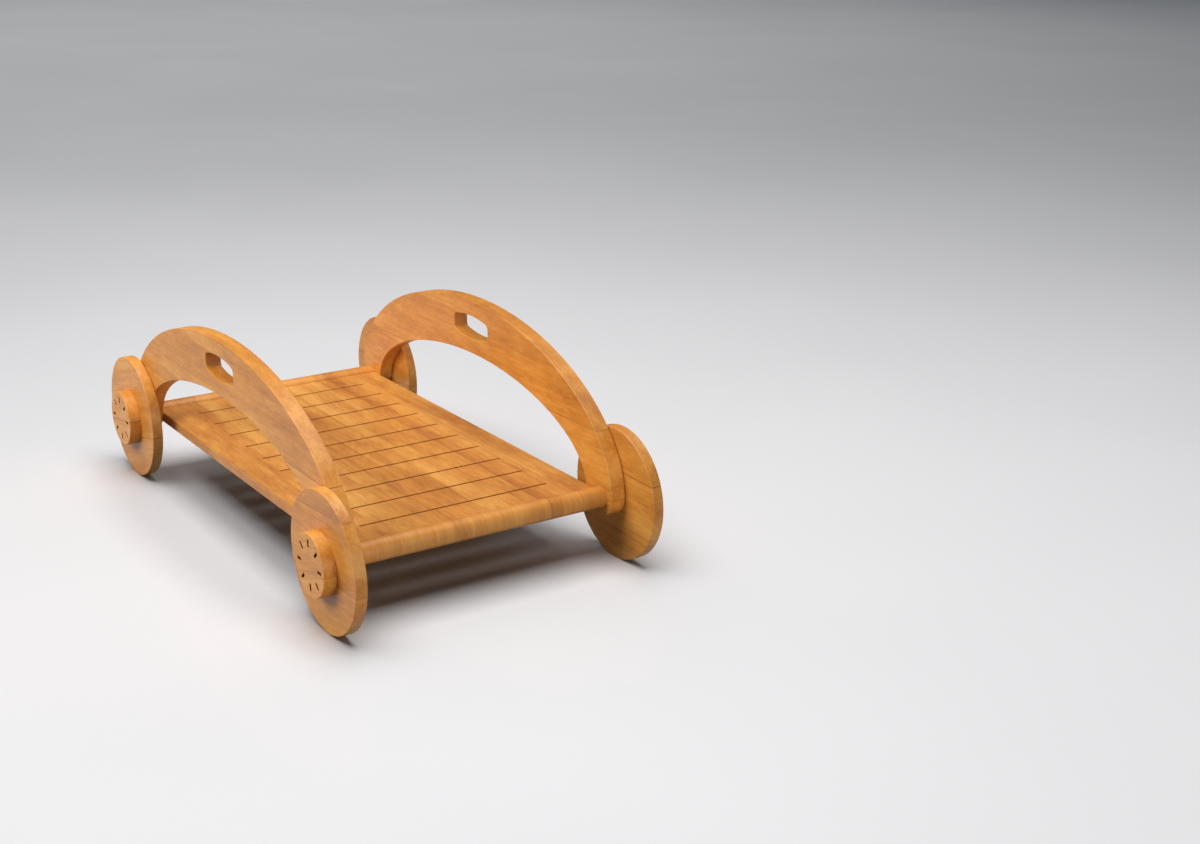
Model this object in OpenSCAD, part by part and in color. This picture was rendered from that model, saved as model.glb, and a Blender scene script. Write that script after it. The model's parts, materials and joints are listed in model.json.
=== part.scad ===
// Child's wooden rocker wagon: a slatted deck between two bow-shaped sides.
// It rolls on four wooden wheels, and turned over it rocks on the two bows.
// Origin on the floor under the middle of the deck, +X to the front, +Z up.

/* [Wheels] */
// Distance between the front and rear axles
wheelbase = 930; // [800:5:1100]
// Diameter of a wheel
wheel_d = 250; // [220:5:280]
// Thickness of a wheel
wheel_t = 21; // [18:1:28]
// Distance from the middle of the wagon to the inner face of a wheel
wheel_inner_y = 280; // [280:1:320]

/* [Hub caps] */
// Diameter of a hub cap
cap_d = 113; // [104:1:140]
// Thickness of a hub cap
cap_t = 23.5; // [21:0.5:30]
// Number of short slots in a hub cap's face
cap_slots = 8; // [4:4:12]
// Radius of the ring on which the slots are centred
cap_slot_ring_r = 39; // [36:1:42]
// Length of a slot, along the radius
cap_slot_l = 14; // [8:1:18]
// Width of a slot
cap_slot_w = 5.5; // [4:0.5:7]
// Depth of a slot
cap_slot_depth = 10; // [4:1:12]

/* [Deck] */
// Width of the deck between the two bows
deck_w = 498; // [400:2:498]
// Thickness of the deck
deck_t = 20; // [18:1:24]
// Number of slots across the deck
deck_slots = 10; // [4:1:12]
// Distance from each end of the deck to the first slot
deck_end_margin = 72; // [50:1:120]
// Length of a deck slot
deck_slot_l = 380; // [200:10:440]
// Width of a deck slot
deck_slot_w = 5; // [3:0.5:8]

/* [Bows] */
// Thickness of a bow
bow_t = 30; // [24:1:30]
// Height of a bow's crown above the axles
bow_rise = 268; // [240:1:320]
// Height of the bow's inner edge above the axles
bow_inner_rise = 160; // [130:1:170]
// Distance from an axle to the bow's inner edge at axle height
bow_inner_set = 46; // [41:1:60]
// Radius of the rounded foot of a bow, about the axle
foot_r = 36; // [34:0.5:38]

/* [Hand-holds] */
// Length of a hand-hold
grip_l = 132; // [100:2:160]
// Height of a hand-hold at its middle
grip_h = 46; // [38:1:50]
// Height of a hand-hold at its two ends
grip_end_h = 29; // [24:1:36]
// Radius of a hand-hold's corners
grip_corner_r = 10; // [5:0.5:11]

/* [Rails and axles] */
// Diameter of the round end rails
rail_d = 40; // [40:1:46]
// Diameter of the steel axle rods
axle_d = 12; // [10:1:12]

/* [Hidden] */
$fn = 96;
// Overlap that joins the bush's flange to its sleeve
join = 0.01;
// Radial room between a rod or dowel and the wood around it
glue_gap = 0.05;
// Radial running clearance between an axle and a bush
run_gap = 0.05;
// Axial play on each side of a wheel
side_play = 0.3;

axle_x = wheelbase / 2;
axle_z = wheel_d / 2;
wheel_outer_y = wheel_inner_y + wheel_t;
cap_outer_y = wheel_outer_y + cap_t;
bow_inner_y = deck_w / 2;
bow_outer_y = bow_inner_y + bow_t;
bow_reach = axle_x + foot_r;
bow_inner_reach = axle_x - bow_inner_set;

// The rail has a flat seat where the deck's shoulder meets it, and a groove for the tongue.
rail_r = rail_d / 2;
seat_depth = sqrt(pow(rail_r, 2) - pow(deck_t / 2, 2));
deck_end_x = axle_x - seat_depth;
tongue_t = 10;
tongue_l = 7;

slot_pitch = 2 * (deck_end_x - deck_end_margin) / (deck_slots - 1);

// The hand-hold lies midway between the two edges of the bow.
grip_z = axle_z + (bow_rise + bow_inner_rise) / 2;
grip_drop = (grip_h - grip_end_h) / 2;
grip_bow_r = (pow(grip_l / 2, 2) + pow(grip_drop, 2)) / (2 * grip_drop);

// Fasteners of 12 mm thread: nut and washer sizes
nut_af = 19;
thin_nut_h = 6;
lock_nut_h = 12;
washer_d = 24;
washer_t = 2.5;
recess_d = 34;
// Wood left between the recess and the end of the rail
clamped_t = 18;
recess_depth = bow_t - clamped_t;

// Nylon bush pressed into each wheel
bush_d = 18;
flange_d = 30;

// The clamp nut stands in the recess and leaves side play before the bush flange.
clamp_y = bow_inner_y + clamped_t;
clamp_nut_y = clamp_y + washer_t;
flange_inner_y = clamp_nut_y + thin_nut_h + side_play;

// The lock nut and its washer lie inside the hub cap's pocket.
lock_washer_y = wheel_outer_y + side_play;
lock_nut_y = lock_washer_y + washer_t;
axle_end_y = lock_nut_y + lock_nut_h + 2;
pocket_d = 34;
pocket_depth = axle_end_y - wheel_outer_y + 1.5;

// Wooden dowels
dowel_d = 8;
foot_dowel_l = 26;
foot_dowel_offset = 13;
cap_dowel_l = 22;
cap_dowel_ring_r = 44;
cap_dowels = 4;
hole_end_room = 0.5;

oak = "#c88442";
light_oak = "#d9984f";
dark_oak = "#b87636";
beech = "#dcb383";
zinc = "#b9bdc1";
nylon = "#ecebe4";

SIDES = [-1, 1];

// Points on an arc of an ellipse, both ends included
function arc(cx, cy, rx, ry, from, to, steps) = [
    for (i = [0 : steps])
        let (a = from + (to - from) * i / steps)
        [cx + rx * cos(a), cy + ry * sin(a)]
];

// The same points mirrored in the vertical axis and in reverse order
function mirrored(points) = [for (i = [len(points) - 1 : -1 : 0]) [-points[i][0], points[i][1]]];

// A disc or rod along Y from y to y + length
module rod(d, y, length) {
    translate([0, y, 0]) rotate([-90, 0, 0]) cylinder(d = d, h = length);
}

// Places children at one axle end: the front is +1, the left is +1
module at_axle_end(front, left) {
    translate([front * axle_x, 0, axle_z]) mirror([0, left < 0 ? 1 : 0, 0]) children();
}

// Places children at all four axle ends
module at_all_axle_ends() {
    for (front = SIDES, left = SIDES) at_axle_end(front, left) children();
}

// Outline of a bow about the axle height, made of its right half and the mirror image.
// The outer ellipse runs into the round foot, and a short tangent leads to the inner ellipse.
module bow_outline() {
    tangent = acos(foot_r / bow_inner_set);
    outer = arc(0, 0, bow_reach, bow_rise, 90, 0, 48);
    foot = arc(axle_x, 0, foot_r, foot_r, 0, -180 + tangent, 24);
    inner = arc(0, 0, bow_inner_reach, bow_inner_rise, 0, 90, 48);
    half = concat(
        outer,
        [for (i = [1 : len(foot) - 1]) foot[i]],
        inner
    );
    left_half = mirrored(half);
    polygon(concat(half, [for (i = [1 : len(left_half) - 2]) left_half[i]]));
}

// Hand-hold outline: upright ends, bowed top and bottom and rounded corners
module grip_outline() {
    bow_c = grip_h / 2 - grip_bow_r;
    corner_x = grip_l / 2 - grip_corner_r;
    corner_z = bow_c + sqrt(pow(grip_bow_r - grip_corner_r, 2) - pow(corner_x, 2));
    lean = atan2(corner_z - bow_c, corner_x);
    corner = arc(corner_x, corner_z, grip_corner_r, grip_corner_r, 0, lean, 8);
    top = arc(0, bow_c, grip_bow_r, grip_bow_r, lean, 90, 8);
    quarter = concat(corner, [for (i = [1 : len(top) - 1]) top[i]]);
    left_quarter = mirrored(quarter);
    upper = concat(quarter, [for (i = [1 : len(left_quarter) - 1]) left_quarter[i]]);
    polygon(concat(upper, [for (i = [len(upper) - 1 : -1 : 0]) [upper[i][0], -upper[i][1]]]));
}

module bow(left) {
    color(oak) difference() {
        translate([0, left > 0 ? bow_outer_y : -bow_inner_y, 0]) rotate([90, 0, 0])
            linear_extrude(bow_t) difference() {
                translate([0, axle_z]) bow_outline();
                translate([0, grip_z]) grip_outline();
            }
        for (front = SIDES) at_axle_end(front, left) {
            rod(axle_d + 2 * glue_gap, bow_inner_y - 1, bow_t + 2);
            rod(recess_d, clamp_y, recess_depth + 1);
            foot_dowel_holes();
        }
    }
}

// Two holes shared by a bow's foot and the end of a rail
module foot_dowel_holes() {
    for (s = SIDES)
        translate([0, 0, s * foot_dowel_offset])
            rod(dowel_d + 2 * glue_gap, bow_inner_y - foot_dowel_l / 2 - hole_end_room,
                foot_dowel_l + 2 * hole_end_room);
}

module foot_dowels() {
    color(beech) at_all_axle_ends()
        for (s = SIDES)
            translate([0, 0, s * foot_dowel_offset])
                rod(dowel_d, bow_inner_y - foot_dowel_l / 2, foot_dowel_l);
}

module rail(front) {
    color(light_oak) difference() {
        translate([front * axle_x, 0, axle_z]) rod(rail_d, -bow_inner_y, deck_w);
        translate([front * axle_x, 0, axle_z])
            rod(axle_d + 2 * glue_gap, -bow_inner_y - 1, deck_w + 2);
        translate([front * (deck_end_x - rail_r / 2), 0, axle_z])
            cube([rail_r, deck_w + 2, rail_d], center = true);
        translate([front * (deck_end_x + tongue_l / 2), 0, axle_z])
            cube([tongue_l + 2 * glue_gap, deck_w + 2, tongue_t + 2 * glue_gap], center = true);
        for (left = SIDES) at_axle_end(front, left) foot_dowel_holes();
    }
}

module deck_slot() {
    linear_extrude(deck_t + 2, center = true) {
        square([deck_slot_w, deck_slot_l - deck_slot_w], center = true);
        for (s = SIDES)
            translate([0, s * (deck_slot_l - deck_slot_w) / 2]) circle(d = deck_slot_w);
    }
}

module deck_panel() {
    color(light_oak) translate([0, 0, axle_z]) difference() {
        union() {
            cube([2 * deck_end_x, deck_w, deck_t], center = true);
            cube([2 * (deck_end_x + tongue_l), deck_w, tongue_t], center = true);
        }
        for (i = [0 : deck_slots - 1])
            translate([(i - (deck_slots - 1) / 2) * slot_pitch, 0, 0]) deck_slot();
    }
}

module axle(front) {
    color(zinc) translate([front * axle_x, 0, axle_z]) rod(axle_d, -axle_end_y, 2 * axle_end_y);
}

// Ring along Y, with a bore that clears the axle
module ring(d, y, length) {
    difference() {
        rod(d, y, length);
        rod(axle_d + 2 * glue_gap, y - 1, length + 2);
    }
}

// Hexagon nut along Y
module nut(y, length) {
    difference() {
        translate([0, y, 0]) rotate([-90, 0, 0])
            cylinder(d = nut_af / cos(30), h = length, $fn = 6);
        rod(axle_d + 2 * glue_gap, y - 1, length + 2);
    }
}

module clamp_washers() {
    color(zinc) at_all_axle_ends() ring(washer_d, clamp_y, washer_t);
}

module clamp_nuts() {
    color(zinc) at_all_axle_ends() nut(clamp_nut_y, thin_nut_h);
}

module lock_washers() {
    color(zinc) at_all_axle_ends() ring(washer_d, lock_washer_y, washer_t);
}

// A lock nut is a hexagon with a round collar that holds its nylon insert.
module lock_nuts() {
    collar_h = 3.5;
    color(zinc) at_all_axle_ends() {
        nut(lock_nut_y, lock_nut_h - collar_h);
        ring(nut_af - 2, lock_nut_y + lock_nut_h - collar_h, collar_h);
    }
}

module cap_dowel_places() {
    for (i = [0 : cap_dowels - 1])
        rotate([0, (i + 0.25) * 360 / cap_dowels, 0]) translate([cap_dowel_ring_r, 0, 0]) children();
}

// Holes shared by a wheel and its hub cap
module cap_dowel_holes() {
    cap_dowel_places()
        rod(dowel_d + 2 * glue_gap, wheel_outer_y - cap_dowel_l / 2 - hole_end_room,
            cap_dowel_l + 2 * hole_end_room);
}

module cap_dowel_set(front, left) {
    color(beech) at_axle_end(front, left) cap_dowel_places()
        rod(dowel_d, wheel_outer_y - cap_dowel_l / 2, cap_dowel_l);
}

module wheel(front, left) {
    color(oak) at_axle_end(front, left) difference() {
        rod(wheel_d, wheel_inner_y, wheel_t);
        rod(bush_d + 2 * glue_gap, wheel_inner_y - 1, wheel_t + 2);
        cap_dowel_holes();
    }
}

module bush(front, left) {
    color(nylon) at_axle_end(front, left) difference() {
        union() {
            rod(bush_d, wheel_inner_y - join, wheel_t + join);
            rod(flange_d, flange_inner_y, wheel_inner_y - flange_inner_y);
        }
        rod(axle_d + 2 * run_gap, flange_inner_y - 1, wheel_outer_y - flange_inner_y + 2);
    }
}

module hub_cap(front, left) {
    color(dark_oak) at_axle_end(front, left) difference() {
        rod(cap_d, wheel_outer_y, cap_t);
        rod(pocket_d, wheel_outer_y - 1, pocket_depth + 1);
        cap_dowel_holes();
        for (i = [0 : cap_slots - 1])
            rotate([0, i * 360 / cap_slots, 0])
                translate([cap_slot_ring_r, cap_outer_y - cap_slot_depth / 2 + 1, 0])
                    cube([cap_slot_l, cap_slot_depth + 2, cap_slot_w], center = true);
    }
}

deck_panel();
rail(1);  // rail_front
rail(-1);  // rail_rear
bow(1);  // bow_left
bow(-1);  // bow_right
foot_dowels();
axle(1);  // axle_front
axle(-1);  // axle_rear
clamp_washers();
clamp_nuts();
lock_washers();
lock_nuts();
wheel(1, 1);  // wheel_front_left
wheel(1, -1);  // wheel_front_right
wheel(-1, 1);  // wheel_rear_left
wheel(-1, -1);  // wheel_rear_right
bush(1, 1);  // bush_front_left
bush(1, -1);  // bush_front_right
bush(-1, 1);  // bush_rear_left
bush(-1, -1);  // bush_rear_right
hub_cap(1, 1);  // hub_cap_front_left
hub_cap(1, -1);  // hub_cap_front_right
hub_cap(-1, 1);  // hub_cap_rear_left
hub_cap(-1, -1);  // hub_cap_rear_right
cap_dowel_set(1, 1);  // cap_dowels_front_left
cap_dowel_set(1, -1);  // cap_dowels_front_right
cap_dowel_set(-1, 1);  // cap_dowels_rear_left
cap_dowel_set(-1, -1);  // cap_dowels_rear_right
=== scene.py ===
"""The looks of a child's wooden rocker wagon, made around its CAD frame. Metres, +X to the front, +Z up."""
import json
import math
import random

import bmesh
import bpy
from mathutils import Matrix, Vector
from mathutils.geometry import tessellate_polygon

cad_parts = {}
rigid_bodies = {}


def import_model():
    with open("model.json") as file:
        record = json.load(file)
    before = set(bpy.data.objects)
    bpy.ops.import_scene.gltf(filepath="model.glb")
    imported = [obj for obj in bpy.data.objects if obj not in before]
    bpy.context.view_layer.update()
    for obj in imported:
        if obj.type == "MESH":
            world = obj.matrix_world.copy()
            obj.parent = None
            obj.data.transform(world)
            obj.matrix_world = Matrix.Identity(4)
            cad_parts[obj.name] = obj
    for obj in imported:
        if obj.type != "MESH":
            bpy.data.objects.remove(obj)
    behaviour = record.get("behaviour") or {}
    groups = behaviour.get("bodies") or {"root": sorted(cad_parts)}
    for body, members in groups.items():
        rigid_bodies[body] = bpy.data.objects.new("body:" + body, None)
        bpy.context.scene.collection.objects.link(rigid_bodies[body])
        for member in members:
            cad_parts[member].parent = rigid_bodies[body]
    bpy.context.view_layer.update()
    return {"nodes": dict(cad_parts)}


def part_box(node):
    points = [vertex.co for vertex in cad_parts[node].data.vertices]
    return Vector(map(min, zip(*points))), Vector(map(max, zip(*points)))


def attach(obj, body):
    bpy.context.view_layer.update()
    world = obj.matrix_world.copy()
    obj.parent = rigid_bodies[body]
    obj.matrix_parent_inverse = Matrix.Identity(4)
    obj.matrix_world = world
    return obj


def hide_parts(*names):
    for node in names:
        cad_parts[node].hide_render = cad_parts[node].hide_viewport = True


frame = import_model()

# ---------------------------------------------------------------- sizes

WHEEL_LOW, WHEEL_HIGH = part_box("wheel_front_left")
CAP_LOW, CAP_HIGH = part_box("hub_cap_front_left")
BOW_LOW, BOW_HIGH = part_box("bow_left")
DECK_LOW, DECK_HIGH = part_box("deck_panel")
RAIL_LOW, RAIL_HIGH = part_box("rail_front")

AXLE_X = (WHEEL_LOW[0] + WHEEL_HIGH[0]) / 2
AXLE_Z = (WHEEL_LOW[2] + WHEEL_HIGH[2]) / 2
WHEEL_R = (WHEEL_HIGH[0] - WHEEL_LOW[0]) / 2
CAP_R = (CAP_HIGH[0] - CAP_LOW[0]) / 2

# The bow's outer edge comes from its box; the rest is the same design as the CAD model's.
BOW_REACH = BOW_HIGH[0]
BOW_RISE = BOW_HIGH[2] - AXLE_Z
FOOT_R = AXLE_Z - BOW_LOW[2]
BOW_INNER_RISE = 0.160
BOW_INNER_SET = 0.046
GRIP_LENGTH = 0.132
GRIP_HEIGHT = 0.046
GRIP_END_HEIGHT = 0.029
GRIP_CORNER_R = 0.010

RAIL_R = (RAIL_HIGH[2] - RAIL_LOW[2]) / 2
# How far the rail's round stops short of its flat seat, in degrees, so that the edge is eased
SEAT_EASE_ANGLE = 2.5
TONGUE_LENGTH = 0.007
TONGUE_HALF = 0.005
DECK_END_X = DECK_HIGH[0] - TONGUE_LENGTH
DECK_CORNER_R = 0.0008
SEAT_X = DECK_END_X - AXLE_X
DECK_SLOTS = 10
DECK_END_MARGIN = 0.072
DECK_SLOT_LENGTH = 0.380
DECK_SLOT_WIDTH = 0.005
# A little under half the width, so that no two points of a slot's round end meet
DECK_SLOT_END_R = DECK_SLOT_WIDTH / 2 - 1e-6

CAP_SLOTS = 8
CAP_SLOT_RING_R = 0.039
CAP_SLOT_LENGTH = 0.014
CAP_SLOT_WIDTH = 0.0055
CAP_SLOT_DEPTH = 0.010
CAP_SLOT_CORNER_R = 0.0012
CAP_POCKET_R = 0.017
CAP_POCKET_DEPTH = 0.0183

ROD_HOLE_R = 0.00605
BUSH_HOLE_R = 0.00905
RECESS_R = 0.017
RECESS_DEPTH = 0.012
DOWEL_HOLE_R = 0.00405
FOOT_DOWEL_OFFSET = 0.013
FOOT_DOWEL_HOLE_DEPTH = 0.0135
CAP_DOWELS = 4
CAP_DOWEL_START = -22.5  # degrees
CAP_DOWEL_RING_R = 0.044
CAP_DOWEL_HOLE_DEPTH = 0.0115
GLUE_GAP = 0.00005

# Radii of the sanded edges
BOARD_EASE = 0.0014
WHEEL_EASE = 0.0014
CAP_EASE = 0.0014
SLOT_EASE = 0.0007
CAP_SLOT_EASE = 0.0005
SEAM_EASE = 0.0009
EASE_STEPS = 4
# Width of the narrow strip beside each eased edge that keeps the flat faces' shading flat
HOLD = 0.0006
# How much an eased edge is lightened where it meets a flat face, for wear and as a painted highlight; it is
# 1 half-way round the edge
LEAST_WEAR_AND_HIGHLIGHT = 0.4
# Edges where the faces meet at more than this many degrees are sharp
SHARP_ANGLE = 32
# Points closer than this are one point
MERGE_DISTANCE = 1e-6

# How many straight steps the outlines are drawn with
BOW_STEPS = 96
FOOT_STEPS = 32
RAIL_STEPS = 96
WHEEL_STEPS = 192
CAP_STEPS = 128
POCKET_STEPS = 64
BORE_STEPS = 48
DRILL_STEPS = 32

# How dark a slot's wall is painted, for the sawn wall's own tone and as painted shade in the slot, on the
# scale of its vertex attribute
WARM = 0.5
DARK = 1.0

# Which way along X each end lies, and along Y each side
ENDS = {"front": 1, "rear": -1}
SIDES = {"left": 1, "right": -1}

# ---------------------------------------------------------------- outlines


def arc(centre, radii, start, end, steps):
    """Points on an arc of an ellipse, both ends included; angles in degrees."""
    angles = [math.radians(start + (end - start) * i / steps) for i in range(steps + 1)]
    return [(centre[0] + radii[0] * math.cos(a), centre[1] + radii[1] * math.sin(a)) for a in angles]


def circle(centre, radius, steps):
    return arc(centre, (radius, radius), 0, 360, steps)[:-1]


def rounded_rectangle(centre, length, width, corner_r, turn=0.0, steps=6):
    """A rectangle with round corners, turned by an angle in degrees."""
    points = []
    for quarter, (sx, sy) in enumerate([(1, 1), (-1, 1), (-1, -1), (1, -1)]):
        corner = (sx * (length / 2 - corner_r), sy * (width / 2 - corner_r))
        points += arc(corner, (corner_r, corner_r), 90 * quarter, 90 * quarter + 90, steps)
    c, s = math.cos(math.radians(turn)), math.sin(math.radians(turn))
    return [(centre[0] + x * c - y * s, centre[1] + x * s + y * c) for x, y in points]


def area(points):
    """The loop's signed area, which is positive if it runs anticlockwise."""
    return sum(a[0] * b[1] - b[0] * a[1] for a, b in zip(points, points[1:] + points[:1])) / 2


def solid_inside(points):
    """The loop, run so that what it encloses is on its left."""
    return points if area(points) > 0 else points[::-1]


def hole(points):
    """The loop, run so that what lies round it is on its left."""
    return solid_inside(points)[::-1]


def inset(points, distance):
    """A loop moved sideways to its left."""
    moved = []
    for before, here, after in zip(points[-1:] + points[:-1], points, points[1:] + points[:1]):
        a = Vector((here[0] - before[0], here[1] - before[1])).normalized()
        b = Vector((after[0] - here[0], after[1] - here[1])).normalized()
        side = Vector((-a.y - b.y, a.x + b.x)) / (1 + a.dot(b))
        moved.append((here[0] + side.x * distance, here[1] + side.y * distance))
    return moved


def mirrored(points):
    """The points mirrored in the vertical axis and in reverse order."""
    return [(-x, y) for x, y in reversed(points)]


def bow_outline():
    """An outer half ellipse that runs into round feet about the axles, and an inner one."""
    inner_reach = AXLE_X - BOW_INNER_SET
    tangent = math.degrees(math.acos(FOOT_R / BOW_INNER_SET))
    outer = arc((0, AXLE_Z), (BOW_REACH, BOW_RISE), 90, 0, BOW_STEPS)
    foot = arc((AXLE_X, AXLE_Z), (FOOT_R, FOOT_R), 0, tangent - 180, FOOT_STEPS)
    inner = arc((0, AXLE_Z), (inner_reach, BOW_INNER_RISE), 0, 90, BOW_STEPS)
    half = outer + foot[1:] + inner
    return solid_inside(half + mirrored(half)[1:-1])


def grip_outline():
    """The hand-hold: upright ends, bowed top and bottom, and rounded corners."""
    drop = (GRIP_HEIGHT - GRIP_END_HEIGHT) / 2
    bow_r = ((GRIP_LENGTH / 2) ** 2 + drop**2) / (2 * drop)
    bow_centre = GRIP_HEIGHT / 2 - bow_r
    corner_x = GRIP_LENGTH / 2 - GRIP_CORNER_R
    corner_z = bow_centre + math.sqrt((bow_r - GRIP_CORNER_R) ** 2 - corner_x**2)
    lean = math.degrees(math.atan2(corner_z - bow_centre, corner_x))
    corner = arc((corner_x, corner_z), (GRIP_CORNER_R, GRIP_CORNER_R), 0, lean, steps=10)
    top = arc((0, bow_centre), (bow_r, bow_r), lean, 90, steps=12)
    quarter = corner + top[1:]
    upper = quarter + mirrored(quarter)[1:]
    lower = [(x, -z) for x, z in reversed(upper)]
    middle_z = AXLE_Z + (BOW_RISE + BOW_INNER_RISE) / 2
    return [(x, z + middle_z) for x, z in upper + lower]


def rail_outline(end):
    """A round bar with a flat seat for the deck's shoulder and a groove for its tongue."""
    lean = math.degrees(math.acos(SEAT_X / RAIL_R)) - SEAT_EASE_ANGLE
    groove_end = SEAT_X + TONGUE_LENGTH + GLUE_GAP
    seat_edge = math.sqrt(RAIL_R**2 - SEAT_X**2) - SEAM_EASE
    groove = TONGUE_HALF + GLUE_GAP
    bar = arc((0, 0), (RAIL_R, RAIL_R), -lean, lean, RAIL_STEPS)
    seat = [
        (SEAT_X, seat_edge), (SEAT_X, groove), (groove_end, groove),
        (groove_end, -groove), (SEAT_X, -groove), (SEAT_X, -seat_edge),
    ]
    return solid_inside([(ENDS[end] * (AXLE_X + x), AXLE_Z + z) for x, z in bar + seat])


# ---------------------------------------------------------------- solids


def eased_edge(ease, depth, into):
    """Steps from a flat face at depth round its eased edge. into is the wall's direction, 1 or -1."""
    steps = [(ease + HOLD, depth, 0.0)]
    for i in range(EASE_STEPS + 1):
        a = math.radians(90 * i / EASE_STEPS)
        # Lightened most half-way round the edge, for wear and as a painted highlight
        wear_and_highlight = LEAST_WEAR_AND_HIGHLIGHT + (1 - LEAST_WEAR_AND_HIGHLIGHT) * math.sin(2 * a)
        steps.append((ease * (1 - math.sin(a)), depth + into * ease * (1 - math.cos(a)), wear_and_highlight))
    steps.append((0.0, depth + into * (ease + HOLD), 0.0))
    return steps


def through(low, high, low_ease, high_ease):
    """Steps of a wall from one flat face to the other, with both edges eased."""
    return eased_edge(low_ease, low, 1) + eased_edge(high_ease, high, -1)[::-1]


class Solid:
    """One closed mesh, made of loops at different depths."""

    def __init__(self, depth_axis, side=1):
        """Depth runs along depth_axis ("y" or "z"), the other way round if side is -1."""
        self.mesh = bmesh.new()
        # Where the eased edges are lightened, for wear and as a painted highlight
        self.wear_and_highlight = self.mesh.verts.layers.float.new("edge_wear_and_highlight")
        # Where slot and pocket walls are painted darker: their sawn tone and painted shade in the slot
        self.cut_and_shade = self.mesh.verts.layers.float.new("cut_and_shade")
        self.depth_axis, self.side = depth_axis, side

    def rings(self, loop, steps, cut_and_shade=0.0):
        """One ring of vertices for each step: how far the loop is inset, its depth and how much it is
        lightened for wear and as a painted highlight.

        The last argument: how dark the wall is painted where the loop isn't inset, for the sawn wall's own
        tone and as painted shade: 0 for plain wood, or WARM or DARK.
        """
        made = []
        for distance, depth, wear_and_highlight in steps:
            depth *= self.side
            ring = []
            for u, v in inset(loop, distance):
                vertex = self.mesh.verts.new((u, depth, v) if self.depth_axis == "y" else (u, v, depth))
                vertex[self.wear_and_highlight] = wear_and_highlight
                vertex[self.cut_and_shade] = cut_and_shade if distance == 0 else 0.0
                ring.append(vertex)
            made.append(ring)
        return made

    def join(self, rings):
        """Faces between each ring and the next. Returns the first and the last ring."""
        for a, b in zip(rings, rings[1:]):
            for i in range(len(a)):
                self.mesh.faces.new((a[i - 1], a[i], b[i], b[i - 1]))
        return rings[0], rings[-1]

    def wall(self, loop, steps, cut_and_shade=0.0):
        return self.join(self.rings(loop, steps, cut_and_shade))

    def cap(self, *rings):
        """A flat face bounded by the first ring, with the others as holes in it."""
        corners = [vertex for ring in rings for vertex in ring]
        for triangle in tessellate_polygon([[vertex.co for vertex in ring] for ring in rings]):
            self.mesh.faces.new([corners[i] for i in triangle])

    def pocket(self, loop, mouth, floor, ease=0.0, cut_and_shade=0.0):
        """A blind hole with a flat floor. Returns its mouth's ring."""
        into = 1 if floor > mouth else -1
        steps = eased_edge(ease, mouth, into) if ease else [(0.0, mouth, 0.0)]
        mouth_ring, floor_ring = self.wall(hole(loop), steps + [(0.0, floor, 0.0)], cut_and_shade)
        self.cap(floor_ring)
        return mouth_ring

    def piece(self, name, material, body, nodes, grain):
        """Makes the Blender object, which rides on its body in place of its CAD nodes.

        grain: gives the place in the board that a point of the mesh was cut from.
        """
        bmesh.ops.remove_doubles(self.mesh, verts=self.mesh.verts, dist=MERGE_DISTANCE)
        bmesh.ops.recalc_face_normals(self.mesh, faces=self.mesh.faces)
        data = bpy.data.meshes.new(name)
        self.mesh.to_mesh(data)
        self.mesh.free()
        data.polygons.foreach_set("use_smooth", [True] * len(data.polygons))
        data.set_sharp_from_angle(angle=math.radians(SHARP_ANGLE))
        field = data.attributes.new("grain", "FLOAT_VECTOR", "POINT")
        for vertex, value in zip(data.vertices, field.data):
            value.vector = grain(vertex.co)
        data.materials.append(material)
        made = bpy.data.objects.new(name, data)
        bpy.context.scene.collection.objects.link(made)
        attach(made, body)
        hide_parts(*nodes)


# ---------------------------------------------------------------- materials


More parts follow.
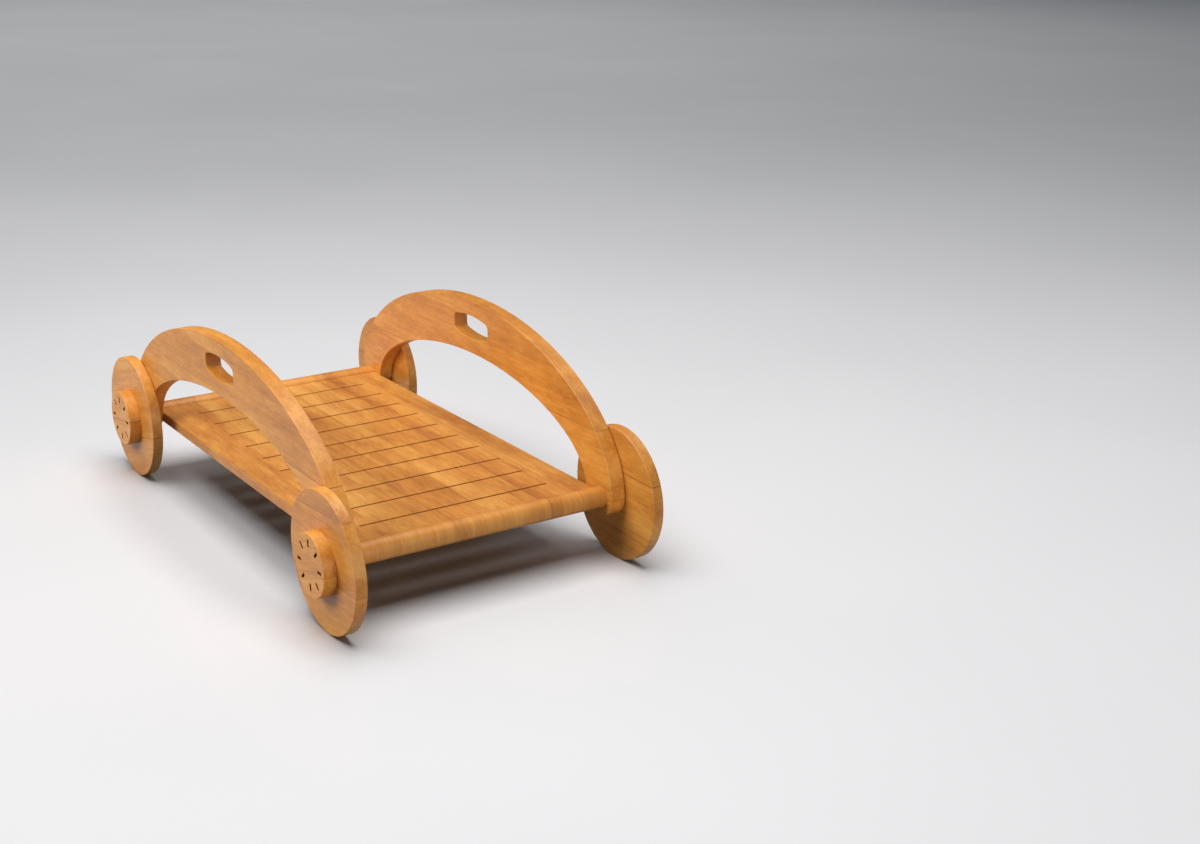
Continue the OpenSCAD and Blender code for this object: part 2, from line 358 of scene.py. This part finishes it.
class Finish:
    """Adds and links the nodes of one material."""

    def __init__(self, name, **surface):
        """surface: values of the surface's sockets, such as coat_weight for Coat Weight."""
        self.material = bpy.data.materials.new(name)
        self.material.use_nodes = True
        self.tree = self.material.node_tree
        self.surface = self.tree.nodes["Principled BSDF"]
        for label, value in surface.items():
            socket = label.replace("_", " ").title().replace("Ior", "IOR")
            self.surface.inputs[socket].default_value = value

    def add(self, kind, inputs, **settings):
        node = self.tree.nodes.new("ShaderNode" + kind)
        for label, value in settings.items():
            setattr(node, label, value)
        for label, value in inputs.items():
            self.connect(value, node.inputs[label])
        return node

    def connect(self, value, socket):
        if isinstance(value, bpy.types.NodeSocket):
            self.tree.links.new(value, socket)
        else:
            socket.default_value = value

    def math(self, operation, a, b=0.0):
        return self.add("Math", {0: a, 1: b}, operation=operation).outputs[0]

    def scaled(self, value, factor):
        return self.math("MULTIPLY", value, factor)

    def centred(self, value):
        """The value less a half, so that noise lies on both sides of 0."""
        return self.math("SUBTRACT", value, 0.5)

    def vector(self, operation, a, b):
        return self.add("VectorMath", {0: a, 1: b}, operation=operation).outputs[0]

    def attribute(self, name, output):
        return self.add("Attribute", {}, attribute_name=name, attribute_type="GEOMETRY").outputs[output]

    def noise(self, vector, scale, shift=(0.0, 0.0, 0.0), detail=3.0, roughness=0.55):
        """Noise between 0 and 1 whose features are about 1/scale metres long on each axis."""
        mapping = self.add("Mapping", {"Vector": vector, "Scale": scale, "Location": shift})
        inputs = {"Vector": mapping.outputs[0], "Scale": 1.0, "Detail": detail, "Roughness": roughness}
        return self.add("TexNoise", inputs).outputs["Fac"]

    def remap(self, value, low, high, to_low=0.0, to_high=1.0):
        """The value carried from low and high to to_low and to_high, and held between them."""
        inputs = {"Value": value, "From Min": low, "From Max": high, "To Min": to_low, "To Max": to_high}
        return self.add("MapRange", inputs, clamp=True).outputs["Result"]

    def ramp(self, value, stops, interpolation="LINEAR"):
        node = self.add("ValToRGB", {"Fac": value})
        ramp = node.color_ramp
        ramp.interpolation = interpolation
        while len(ramp.elements) < len(stops):
            ramp.elements.new(1.0)
        for element, (place, colour) in zip(ramp.elements, stops):
            element.position = place
            element.color = (*colour, 1.0)
        return node.outputs["Color"]

    def mix(self, share, a, b, blend="MIX"):
        node = self.add("Mix", {0: share}, data_type="RGBA", blend_type=blend)
        for value, socket in ((a, node.inputs[6]), (b, node.inputs[7])):
            self.connect((*value, 1.0) if isinstance(value, tuple) else value, socket)
        return node.outputs[2]

    def done(self, colour, roughness, height=0.0, depth=0.0):
        """Links the surface's colour and roughness, and a bump of the given depth in metres."""
        bump = self.add("Bump", {"Height": height, "Strength": 1.0, "Distance": depth})
        self.connect(colour, self.surface.inputs["Base Color"])
        self.connect(roughness, self.surface.inputs["Roughness"])
        self.connect(bump.outputs["Normal"], self.surface.inputs["Normal"])
        return self.material


RED_HEART = (0.47, 0.145, 0.022)
PALE_FLECK = (0.85, 0.52, 0.17)
DARK_LINE = (0.20, 0.055, 0.010)
# Slot walls: the sawn wall's own warmer tone, and painted shade, darkest in the hub caps' blind slots
WARM_CUT_AND_SHADE = (0.50, 0.135, 0.002)
DARK_CUT_AND_SHADE = (0.17, 0.048, 0.004)

# Across which axis the boards lie, from where to where, and for each board where it starts, how
# much lighter or darker it is, and how dark the joint before it is
DECK_BOARDS = ("Y", -0.25, 0.25, [
    (-0.250, -0.015, 0.0), (-0.205, -0.005, 0.30), (-0.165, 0.035, 0.0), (-0.100, 0.015, 0.30),
    (-0.062, -0.060, 0.30), (-0.022, 0.010, 0.0), (0.030, 0.040, 0.0), (0.075, 0.010, 0.0),
    (0.105, -0.015, 0.0), (0.134, -0.070, 0.75), (0.158, 0.040, 0.0), (0.200, -0.010, 0.40),
])
SIDE_BOARDS = ("Z", -0.12, 0.48, [
    (-0.110, 0.000, 0.0), (0.008, 0.010, 0.30), (0.126, 0.015, 0.50), (0.244, -0.015, 0.80),
    (0.362, 0.010, 0.0),
])
# How wide a joint's dark line is at its core and with its soft edges, as half-widths in metres
JOINT_CORE = 0.0003
JOINT_HALF = 0.0014
# How far along the fibres the boards' patterns are shifted, at most, so that no two look alike
BOARD_SHIFT = 9.0
BOARD_SHIFT_STEP = 0.37

# The versions of the wood: its dark, middle and light tone, and the boards it is glued up from
WOODS = {
    "deck_wood": ((0.44, 0.138, 0.024), (0.63, 0.250, 0.044), (0.78, 0.38, 0.086), DECK_BOARDS),
    "bow_wood": ((0.45, 0.146, 0.016), (0.61, 0.232, 0.029), (0.74, 0.34, 0.062), SIDE_BOARDS),
    "wheel_wood": ((0.44, 0.142, 0.016), (0.60, 0.228, 0.029), (0.73, 0.33, 0.062), SIDE_BOARDS),
    "cap_wood": ((0.50, 0.167, 0.019), (0.66, 0.256, 0.035), (0.78, 0.362, 0.067), SIDE_BOARDS),
    "rail_wood": ((0.50, 0.178, 0.022), (0.62, 0.246, 0.038), (0.70, 0.31, 0.058), DECK_BOARDS),
}

# How strongly each layer of the grain lightens and darkens the wood
BANDS_SHARE = 0.36
STREAKS_SHARE = 0.22
DASHES_SHARE = 0.16
FIBRES_SHARE = 0.14
PATCHES_SHARE = 0.26
MOTTLE_SHARE = 0.20
# How strongly the other features colour the wood
HEART_SHARE = 0.36
CHECK_SHARE = 0.30
FLECK_SHARE = 0.22
# Lightens the eased edges: partly wear, partly a painted highlight
WEAR_AND_HIGHLIGHT_SHARE = 0.15
# Colours the slot walls: partly their sawn tone, partly painted shade
CUT_AND_SHADE_SHARE = 0.9
# How far the fibres sway sideways, in metres
SWAY = 0.020
WOOD_BUMP = 0.00010


def grey(value):
    return (value, value, value)


def glued(finish, place, axis, start, end, boards):
    """Boards glued side by side: the board's tone, its shift along the fibres, and its joints."""
    across = finish.add("SeparateXYZ", {0: place}).outputs[axis]
    share = finish.remap(across, start, end)
    stops = []
    for i, (edge, tone, _) in enumerate(boards):
        stops.append(((edge - start) / (end - start), (0.5 + tone, (i * BOARD_SHIFT_STEP) % 1.0, 0.0)))
    picked = finish.add("SeparateXYZ", {0: finish.ramp(share, stops, "CONSTANT")}).outputs
    joints = 0.0
    for edge, _, depth in boards:
        if depth:
            away = finish.math("ABSOLUTE", finish.math("SUBTRACT", across, edge))
            line = finish.remap(away, JOINT_CORE, JOINT_HALF, depth, 0.0)
            joints = finish.math("MAXIMUM", joints, line)
    return finish.centred(picked[0]), finish.scaled(picked[1], BOARD_SHIFT), joints


def drying_checks(finish, grain):
    """Thin dark lines along the fibres, which show in few places."""
    contour = finish.noise(grain, (0.35, 16.0, 16.0), (1.0, 2.0, 6.0), detail=0.0)
    contour = finish.math("ABSOLUTE", finish.centred(contour))
    line = finish.remap(contour, 0.001, 0.006, 1.0, 0.0)
    rare = finish.remap(finish.noise(grain, (2.0, 6.0, 6.0), (8.0, 8.0, 2.0), detail=0.0), 0.66, 0.74)
    return finish.scaled(finish.math("MULTIPLY", line, rare), CHECK_SHARE)


def rubbed_and_highlit(finish, grain):
    """How much the eased edges are lightened, uneven along their length: partly wear, partly a painted
    highlight along the edge.
    """
    rub = finish.remap(finish.noise(grain, (30.0, 60.0, 60.0), (5.0, 5.0, 5.0), detail=2.0), 0.35, 0.65)
    return finish.math("MULTIPLY", finish.attribute("edge_wear_and_highlight", "Fac"), rub)


def wood(name, dark, middle, light, boards):
    """Oiled and varnished wood glued up from boards, with its fibres along the grain attribute's X."""
    finish = Finish(name, ior=1.5, coat_weight=0.10, coat_roughness=0.25, coat_ior=1.5)
    place = finish.attribute("grain", "Vector")
    tone, shift, joint = glued(finish, place, *boards)
    sway = finish.scaled(finish.centred(finish.noise(place, (1.5, 7.0, 7.0), detail=1.0)), SWAY)
    bend = finish.add("CombineXYZ", {"X": shift, "Y": sway, "Z": sway}).outputs[0]
    grain = finish.vector("ADD", place, bend)

    # The layers of the grain: each one's scale along and across the fibres, and a shift that
    # keeps it from looking like the others
    bands = finish.noise(grain, (1.2, 26.0, 26.0), detail=2.0)
    streaks = finish.noise(grain, (6.0, 130.0, 130.0), (7.0, 0.0, 3.0), detail=3.0, roughness=0.75)
    dashes = finish.noise(grain, (55.0, 300.0, 300.0), (2.0, 6.0, 4.0), detail=1.0)
    fibres = finish.noise(grain, (26.0, 760.0, 760.0), detail=2.0)
    patches = finish.noise(grain, (5.0, 14.0, 14.0), (0.0, 4.0, 9.0), detail=3.0)
    mottle = finish.noise(grain, (20.0, 48.0, 48.0), (6.0, 2.0, 1.0), detail=2.0)
    mixed = tone
    for layer, share in (
        (bands, BANDS_SHARE), (streaks, STREAKS_SHARE), (dashes, DASHES_SHARE),
        (fibres, FIBRES_SHARE), (patches, PATCHES_SHARE), (mottle, MOTTLE_SHARE),
    ):
        mixed = finish.math("ADD", mixed, finish.scaled(finish.centred(layer), share))
    mixed = finish.math("ADD", mixed, 0.5)
    colour = finish.ramp(mixed, [(0.36, dark), (0.50, middle), (0.64, light)])

    heart = finish.remap(finish.noise(grain, (1.1, 16.0, 16.0), (3.0, 5.0, 1.0), detail=3.0), 0.58, 0.74)
    colour = finish.mix(finish.scaled(heart, HEART_SHARE), colour, RED_HEART)
    shade = finish.ramp(patches, [(0.3, grey(0.93)), (0.7, grey(1.05))])
    colour = finish.mix(1.0, colour, shade, "MULTIPLY")

    joint = finish.math("MULTIPLY", joint, finish.remap(patches, 0.35, 0.6, 0.4, 1.0))
    dark_line = finish.math("MAXIMUM", drying_checks(finish, grain), joint)
    colour = finish.mix(dark_line, colour, DARK_LINE)

    flecks = finish.noise(grain, (45.0, 420.0, 420.0), (4.0, 1.0, 7.0), detail=1.0)
    flecks = finish.remap(flecks, 0.62, 0.72)
    colour = finish.mix(finish.scaled(flecks, FLECK_SHARE), colour, PALE_FLECK)

    # The eased edges are lightened toward the light tone: partly wear, partly a painted highlight along
    # them
    wear_and_highlight = rubbed_and_highlit(finish, grain)
    colour = finish.mix(finish.scaled(wear_and_highlight, WEAR_AND_HIGHLIGHT_SHARE), colour, light)
    # Slot and pocket walls are painted darker: partly the sawn wall's tone, partly painted shade in the
    # slot
    cut_and_shade = finish.attribute("cut_and_shade", "Fac")
    cut_and_shade_colour = finish.ramp(cut_and_shade, [(WARM, WARM_CUT_AND_SHADE), (DARK, DARK_CUT_AND_SHADE)])
    colour = finish.mix(finish.remap(cut_and_shade, 0.0, WARM, 0.0, CUT_AND_SHADE_SHARE), colour, cut_and_shade_colour)

    rough = finish.remap(streaks, 0.3, 0.7, 0.46, 0.38)
    rough = finish.math("ADD", rough, finish.scaled(wear_and_highlight, 0.08))
    height = finish.math("ADD", finish.scaled(fibres, 0.6), finish.scaled(streaks, 0.6))
    height = finish.math("SUBTRACT", height, finish.scaled(dark_line, 1.5))
    return finish.done(colour, rough, height, WOOD_BUMP)


def beech(name):
    """Raw turned beech, with its fibres along Y."""
    finish = Finish(name, ior=1.45)
    place = finish.add("TexCoord", {}).outputs["Object"]
    fibres = finish.noise(place, (900.0, 40.0, 900.0), detail=2.0)
    flecks = finish.remap(finish.noise(place, (420.0, 90.0, 420.0), (2.0, 3.0, 4.0)), 0.60, 0.70)
    colour = finish.ramp(fibres, [(0.3, (0.52, 0.31, 0.15)), (0.7, (0.74, 0.52, 0.31))])
    colour = finish.mix(finish.scaled(flecks, 0.5), colour, (0.36, 0.18, 0.08))
    return finish.done(colour, finish.remap(fibres, 0.3, 0.7, 0.62, 0.74), fibres, 0.00008)


def zinc_steel(name):
    """Zinc-plated steel with turning marks and a mottled plating."""
    finish = Finish(name, metallic=1.0)
    place = finish.add("TexCoord", {}).outputs["Object"]
    marks = finish.noise(place, (60.0, 2600.0, 60.0), detail=2.0)
    mottle = finish.noise(place, (240.0, 240.0, 240.0), (1.0, 2.0, 3.0))
    colour = finish.ramp(mottle, [(0.3, (0.50, 0.51, 0.53)), (0.7, (0.68, 0.69, 0.70))])
    rough = finish.math("ADD", finish.remap(mottle, 0.3, 0.7, 0.26, 0.40), finish.scaled(marks, 0.06))
    return finish.done(colour, rough, marks, 0.00003)


def nylon(name):
    """Natural turned nylon, slightly milky."""
    finish = Finish(name, ior=1.53)
    place = finish.add("TexCoord", {}).outputs["Object"]
    cloud = finish.noise(place, (70.0, 70.0, 70.0))
    marks = finish.noise(place, (90.0, 1800.0, 90.0), (3.0, 1.0, 2.0), detail=2.0)
    colour = finish.ramp(cloud, [(0.3, (0.74, 0.72, 0.65)), (0.7, (0.86, 0.85, 0.80))])
    return finish.done(colour, finish.remap(marks, 0.3, 0.7, 0.42, 0.54), marks, 0.00003)


# ---------------------------------------------------------------- pieces


def board_grain(turn=0.0, shift=(0.0, 0.0, 0.0)):
    """Grain of a flat board: fibres along X, turned about Y by an angle in degrees, then shifted."""
    turned = Matrix.Rotation(math.radians(turn), 3, "Y")
    return lambda place: turned @ place + Vector(shift)


def rail_grain(end):
    """Grain of a rail: the deck's, carried on round the bar."""
    seat = math.acos(SEAT_X / RAIL_R)
    front = ENDS[end]

    def grain(place):
        angle = math.atan2(place.z - AXLE_Z, front * place.x - AXLE_X)
        return Vector((front * (DECK_END_X + RAIL_R * (seat - angle)), place.y, DECK_HIGH[2]))

    return grain


def axle(end):
    """The middle of an axle, seen from the side."""
    return (ENDS[end] * AXLE_X, AXLE_Z)


def foot_dowel_holes(end):
    """The holes for the two dowels between a rail's end and the foot of a bow."""
    x, z = axle(end)
    return [circle((x, z + up * FOOT_DOWEL_OFFSET), DOWEL_HOLE_R, DRILL_STEPS) for up in (-1, 1)]


def cap_dowel_holes(end):
    """The holes for the four dowels between a wheel and its hub cap."""
    x, z = axle(end)
    holes = []
    for i in range(CAP_DOWELS):
        a = math.radians(CAP_DOWEL_START - 360 / CAP_DOWELS * i)
        place = (x + CAP_DOWEL_RING_R * math.cos(a), z + CAP_DOWEL_RING_R * math.sin(a))
        holes.append(circle(place, DOWEL_HOLE_R, DRILL_STEPS))
    return holes


def deck(material):
    """The slotted board, with a tongue at each end."""
    low, high = DECK_LOW[2], DECK_HIGH[2]
    tongue_low, tongue_high = AXLE_Z - TONGUE_HALF, AXLE_Z + TONGUE_HALF
    outline = rounded_rectangle((0, 0), 2 * DECK_END_X, 2 * DECK_HIGH[1], DECK_CORNER_R)
    with_tongue = [(x + math.copysign(TONGUE_LENGTH, x), y) for x, y in outline]
    board = Solid("z")
    sides = board.rings(outline, eased_edge(SEAM_EASE, low, 1) + [(0.0, tongue_low, 0.0)])
    sides += board.rings(with_tongue, [(0.0, tongue_low, 0.0), (0.0, tongue_high, 0.0)])
    sides += board.rings(outline, [(0.0, tongue_high, 0.0)] + eased_edge(SEAM_EASE, high, -1)[::-1])
    bottom, top = board.join(sides)
    pitch = 2 * (DECK_END_X - DECK_END_MARGIN) / (DECK_SLOTS - 1)
    bottoms, tops = [bottom], [top]
    for i in range(DECK_SLOTS):
        centre = ((i - (DECK_SLOTS - 1) / 2) * pitch, 0)
        loop = rounded_rectangle(centre, DECK_SLOT_WIDTH, DECK_SLOT_LENGTH, DECK_SLOT_END_R, steps=8)
        # The slot walls are painted a warmer, darker tone: the sawn wall's own tone and painted shade
        slot_bottom, slot_top = board.wall(hole(loop), through(low, high, SLOT_EASE, SLOT_EASE), WARM)
        bottoms.append(slot_bottom)
        tops.append(slot_top)
    board.cap(*bottoms)
    board.cap(*tops)
    board.piece("deck", material, "chassis", ["deck_panel"], board_grain())


def rail(end, material):
    """A round end rail, bored for its axle and drilled for the dowels of both bows."""
    low, high = RAIL_LOW[1], RAIL_HIGH[1]
    full_length = [(0.0, low, 0.0), (0.0, high, 0.0)]
    bar = Solid("y")
    near, far = bar.wall(rail_outline(end), full_length)
    near_bore, far_bore = bar.wall(hole(circle(axle(end), ROD_HOLE_R, BORE_STEPS)), full_length)
    nears, fars = [near, near_bore], [far, far_bore]
    for loop in foot_dowel_holes(end):
        nears.append(bar.pocket(loop, low, low + FOOT_DOWEL_HOLE_DEPTH))
        fars.append(bar.pocket(loop, high, high - FOOT_DOWEL_HOLE_DEPTH))
    bar.cap(*nears)
    bar.cap(*fars)
    node = "rail_" + end
    bar.piece("end_" + node, material, "chassis", [node], rail_grain(end))


def bow(side, material, grain):
    """A bow-shaped side with its hand-hold, axle bores, recesses and dowel holes."""
    low, high = BOW_LOW[1], BOW_HIGH[1]
    board = Solid("y", SIDES[side])
    both_eased = through(low, high, BOARD_EASE, BOARD_EASE)
    inner, outer = board.wall(bow_outline(), both_eased)
    grip_inner, grip_outer = board.wall(hole(grip_outline()), both_eased)
    inners, outers = [inner, grip_inner], [outer, grip_outer]
    step = RECESS_R - ROD_HOLE_R
    recess_floor = high - RECESS_DEPTH
    bore = [(-step, low, 0.0), (-step, recess_floor, 0.0), (0.0, recess_floor, 0.0)]
    bore += eased_edge(SLOT_EASE, high, -1)[::-1]
    for end in ("rear", "front"):
        bore_inner, bore_outer = board.wall(hole(circle(axle(end), RECESS_R, BORE_STEPS)), bore)
        inners.append(bore_inner)
        outers.append(bore_outer)
        for loop in foot_dowel_holes(end):
            inners.append(board.pocket(loop, low, low + FOOT_DOWEL_HOLE_DEPTH))
    board.cap(*inners)
    board.cap(*outers)
    board.piece("side_bow_" + side, material, "chassis", ["bow_" + side], grain)


def wheel(end, side, material, grain):
    """A wooden disc with the bore for its bush and four dowel holes."""
    corner = end + "_" + side
    low, high = WHEEL_LOW[1], WHEEL_HIGH[1]
    disc = Solid("y", SIDES[side])
    rim = circle(axle(end), WHEEL_R, WHEEL_STEPS)
    inner, outer = disc.wall(rim, through(low, high, WHEEL_EASE, WHEEL_EASE))
    bore = circle(axle(end), BUSH_HOLE_R, BORE_STEPS)
    bore_inner, bore_outer = disc.wall(hole(bore), [(0.0, low, 0.0), (0.0, high, 0.0)])
    drilled = [disc.pocket(loop, high, high - CAP_DOWEL_HOLE_DEPTH) for loop in cap_dowel_holes(end)]
    disc.cap(inner, bore_inner)
    disc.cap(outer, bore_outer, *drilled)
    disc.piece("disc_" + corner, material, corner + "_wheel", ["wheel_" + corner], grain)


def hub_cap(end, side, material, grain):
    """A thick disc with short radial slots in its face and a pocket for the lock nut behind."""
    corner = end + "_" + side
    x, z = axle(end)
    low, high = CAP_LOW[1], CAP_HIGH[1]
    disc = Solid("y", SIDES[side])
    inner, outer = disc.wall(circle(axle(end), CAP_R, CAP_STEPS), through(low, high, SLOT_EASE, CAP_EASE))
    nut_pocket = circle(axle(end), CAP_POCKET_R, POCKET_STEPS)
    inners = [inner, disc.pocket(nut_pocket, low, low + CAP_POCKET_DEPTH)]
    for loop in cap_dowel_holes(end):
        inners.append(disc.pocket(loop, low, low + CAP_DOWEL_HOLE_DEPTH))
    outers = [outer]
    for i in range(CAP_SLOTS):
        turn = 360 * i / CAP_SLOTS
        a = math.radians(turn)
        place = (x + CAP_SLOT_RING_R * math.cos(a), z + CAP_SLOT_RING_R * math.sin(a))
        loop = rounded_rectangle(place, CAP_SLOT_LENGTH, CAP_SLOT_WIDTH, CAP_SLOT_CORNER_R, turn, steps=4)
        # The blind slots' walls are painted dark: painted shade in the slot, over the sawn wall's tone
        outers.append(disc.pocket(loop, high, high - CAP_SLOT_DEPTH, CAP_SLOT_EASE, DARK))
    disc.cap(*inners)
    disc.cap(*outers)
    disc.piece("cap_" + corner, material, corner + "_wheel", ["hub_cap_" + corner], grain)


def dress(prefixes, material):
    """Gives the CAD nodes whose names start with these words their material."""
    for name, node in frame["nodes"].items():
        if name.startswith(prefixes):
            node.data.materials.clear()
            node.data.materials.append(material)


# Where in a board's grain each piece is cut from: seed, turns in degrees and shifts in metres
GRAIN_SEED = 11
WHEEL_TURN = 14
CAP_TURN = 30
GRAIN_REACH = 9
WHEEL_HEIGHTS = (0.0, 0.06)
CAP_HEIGHT = 0.05
RIGHT_BOW_SHIFT = (4.0, 0.3, 0.0)


def build():
    woods = {name: wood(name, *version) for name, version in WOODS.items()}
    deck(woods["deck_wood"])
    rail("front", woods["rail_wood"])
    rail("rear", woods["rail_wood"])
    bow("left", woods["bow_wood"], board_grain())
    bow("right", woods["bow_wood"], board_grain(shift=RIGHT_BOW_SHIFT))
    draw = random.Random(GRAIN_SEED)
    for end in ENDS:
        for side in SIDES:
            along, across = draw.uniform(0, GRAIN_REACH), draw.uniform(0, GRAIN_REACH)
            shift = (along, across, draw.choice(WHEEL_HEIGHTS))
            grain = board_grain(draw.uniform(-WHEEL_TURN, WHEEL_TURN), shift)
            wheel(end, side, woods["wheel_wood"], grain)
            grain = board_grain(draw.uniform(-CAP_TURN, CAP_TURN), (across, along, CAP_HEIGHT))
            hub_cap(end, side, woods["cap_wood"], grain)
    dress(("axle_", "clamp_", "lock_"), zinc_steel("zinc_steel"))
    dress(("bush_",), nylon("nylon"))
    dress(("foot_dowels", "cap_dowels_"), beech("dowel_wood"))


# ---------------------------------------------------------------- stage

# Half the floor's width
FLOOR_REACH = 60.0

WORLD_COLOUR = (0.74, 0.95, 1.12, 1.0)
WORLD_STRENGTH = 0.065

CAMERA_PLACE = (2.8366, -1.3390, 1.2131)
CAMERA_LOOK = (-0.7888, 0.5280, -0.3146)
# In millimetres
CAMERA_LENS = 50.39
SENSOR_WIDTH = 36.0


def floor():
    """A wide pale floor with a soft sheen."""
    finish = Finish("floor", specular_ior_level=0.0, coat_weight=0.24, coat_roughness=0.03)
    place = finish.add("TexCoord", {}).outputs["Object"]
    cloud = finish.noise(place, (0.7, 0.7, 0.7), detail=2.0)
    colour = finish.ramp(cloud, [(0.3, (0.80, 0.785, 0.79)), (0.7, (0.84, 0.825, 0.83))])
    material = finish.done(colour, finish.remap(cloud, 0.3, 0.7, 0.44, 0.50))
    data = bpy.data.meshes.new("floor")
    corners = [(FLOOR_REACH * x, FLOOR_REACH * y, 0) for x, y in ((-1, -1), (1, -1), (1, 1), (-1, 1))]
    data.from_pydata(corners, [], [(0, 1, 2, 3)])
    data.materials.append(material)
    made = bpy.data.objects.new("floor", data)
    # The floor throws no light back up: the wagon has its own lamps
    made.visible_diffuse = False
    bpy.context.scene.collection.objects.link(made)


def aimed(made, place, look):
    """Stands a lamp or a camera at a place, facing along look, and adds it to the scene."""
    made.location = place
    made.rotation_mode = "QUATERNION"
    made.rotation_quaternion = Vector(look).to_track_quat("-Z", "Y")
    bpy.context.scene.collection.objects.link(made)
    return made


def soft_light(name, lit, place, target, width, power, in_reflections=True):
    """A square lamp that lights the things in one collection."""
    data = bpy.data.lights.new(name, "AREA")
    data.shape = "SQUARE"
    data.size = width
    data.energy = power
    made = aimed(bpy.data.objects.new(name, data), place, Vector(target) - Vector(place))
    made.light_linking.receiver_collection = lit
    made.visible_glossy = in_reflections


def hung_light(name, lit, place, width, power, in_reflections=True):
    """A square lamp that shines straight down."""
    x, y, _ = place
    soft_light(name, lit, place, (x, y, 0), width, power, in_reflections)


def lights():
    """Lamps for the floor and lamps for the wagon. The near side is the one the camera sees."""
    wagon = bpy.data.collections.new("wagon")
    ground = bpy.data.collections.new("ground")
    for thing in bpy.data.objects:
        if thing.type == "MESH":
            (ground if thing.name == "floor" else wagon).objects.link(thing)
    middle = (0, 0, 0.2)
    hung_light("overhead", ground, (0.65, -0.5, 4.4), width=4.4, power=242.0, in_reflections=False)
    hung_light("backdrop", ground, (-10.6, 3.0, 6.0), width=14.0, power=490.0, in_reflections=False)
    hung_light("top_fill", wagon, (-0.4, -0.1, 3.4), width=2.8, power=83.0)
    soft_light("near_side_fill", wagon, (-0.4, -2.2, 1.9), middle, width=2.0, power=83.0)
    soft_light("front_fill", wagon, (3.2, 0.6, 1.1), (0.4, 0, 0.1), width=2.5, power=10.0)
    soft_light("low_fill", wagon, (2.6, -0.3, 0.55), (0.3, 0, 0.1), width=1.0, power=19.5)
    soft_light("far_side_fill", wagon, (-0.3, 3.3, 1.9), middle, width=2.5, power=58.0)


def world():
    """A dim, slightly blue light from all round."""
    studio = bpy.data.worlds.new("studio")
    studio.use_nodes = True
    background = studio.node_tree.nodes["Background"]
    background.inputs["Color"].default_value = WORLD_COLOUR
    background.inputs["Strength"].default_value = WORLD_STRENGTH
    bpy.context.scene.world = studio


def camera():
    """The viewing angle: from the front right, a little above the wagon."""
    data = bpy.data.cameras.new("camera")
    data.lens = CAMERA_LENS
    data.sensor_width = SENSOR_WIDTH
    bpy.context.scene.camera = aimed(bpy.data.objects.new("camera", data), CAMERA_PLACE, CAMERA_LOOK)


camera()
build()
floor()
world()
lights()
bpy.context.scene.view_settings.view_transform = "Standard"
